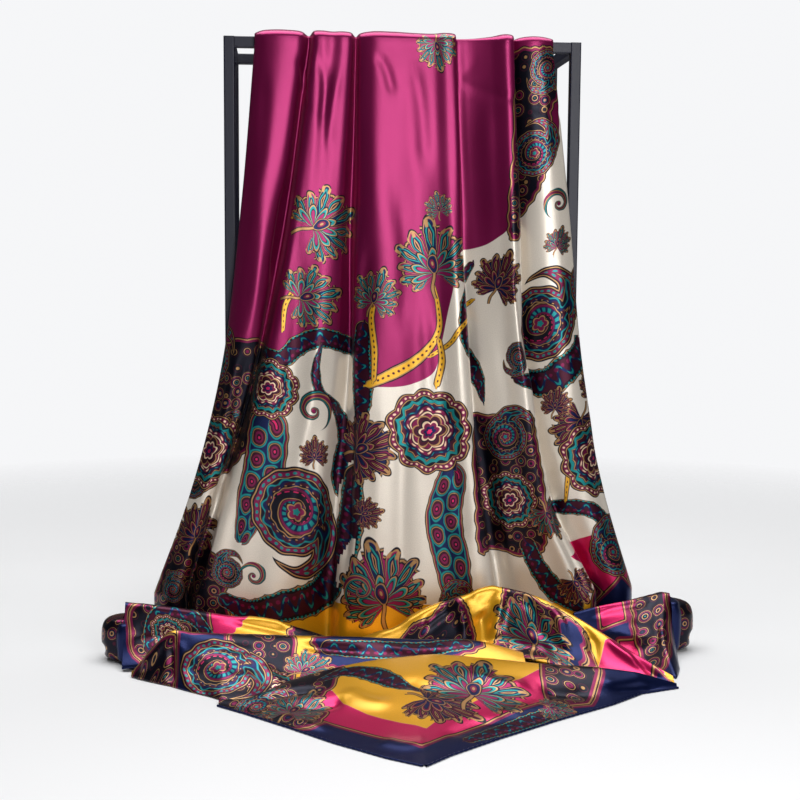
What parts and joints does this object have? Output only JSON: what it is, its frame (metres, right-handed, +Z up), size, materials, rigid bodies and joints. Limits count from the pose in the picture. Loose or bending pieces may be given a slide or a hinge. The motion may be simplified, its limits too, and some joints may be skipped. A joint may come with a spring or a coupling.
{
  "type": "silk square scarf draped over an open box-frame display stand",
  "caption": "Printed silk satin square draped over an open steel box frame: it falls in deep pleats and pools on the floor in soft folds with one corner to the front.",
  "frame": {"origin": "on the floor, in the middle of the footprint of the stand and the pooled cloth", "axes": "+Z up; +X to the right and +Y to the back, seen from the front, where the corner of the scarf points to -Y"},
  "size_m": [0.6722, 0.5682, 0.6862],
  "materials": {
    "black_steel": "satin black powder coat",
    "printed_silk": "printed silk satin, magenta ground with cream, gold, pink and navy zones",
    "rolled_hem": "hand-rolled silk hem in navy"
  },
  "bodies": {
    "root": {"stand_front_left_post": "black_steel", "stand_front_right_post": "black_steel", "stand_back_left_post": "black_steel", "stand_back_right_post": "black_steel", "stand_top_front_bar": "black_steel", "stand_top_back_bar": "black_steel", "stand_top_left_bar": "black_steel", "stand_top_right_bar": "black_steel", "stand_bottom_front_bar": "black_steel", "stand_bottom_back_bar": "black_steel", "stand_bottom_left_bar": "black_steel", "stand_bottom_right_bar": "black_steel", "scarf_front_fall": "printed_silk", "scarf_left_wing": "printed_silk", "scarf_right_wing": "printed_silk", "scarf_bar_turn": "printed_silk", "scarf_back_fall": "printed_silk", "scarf_back_fold": "printed_silk", "scarf_middle_fold": "printed_silk", "scarf_corner_panel": "printed_silk", "scarf_right_band": "printed_silk", "scarf_pool_layers": "printed_silk", "scarf_left_folded_end": "printed_silk", "scarf_right_folded_end": "printed_silk", "scarf_front_left_hem": "rolled_hem", "scarf_front_right_hem": "rolled_hem", "scarf_back_left_hem": "rolled_hem", "scarf_back_right_hem": "rolled_hem"}
  },
  "joints": []
}
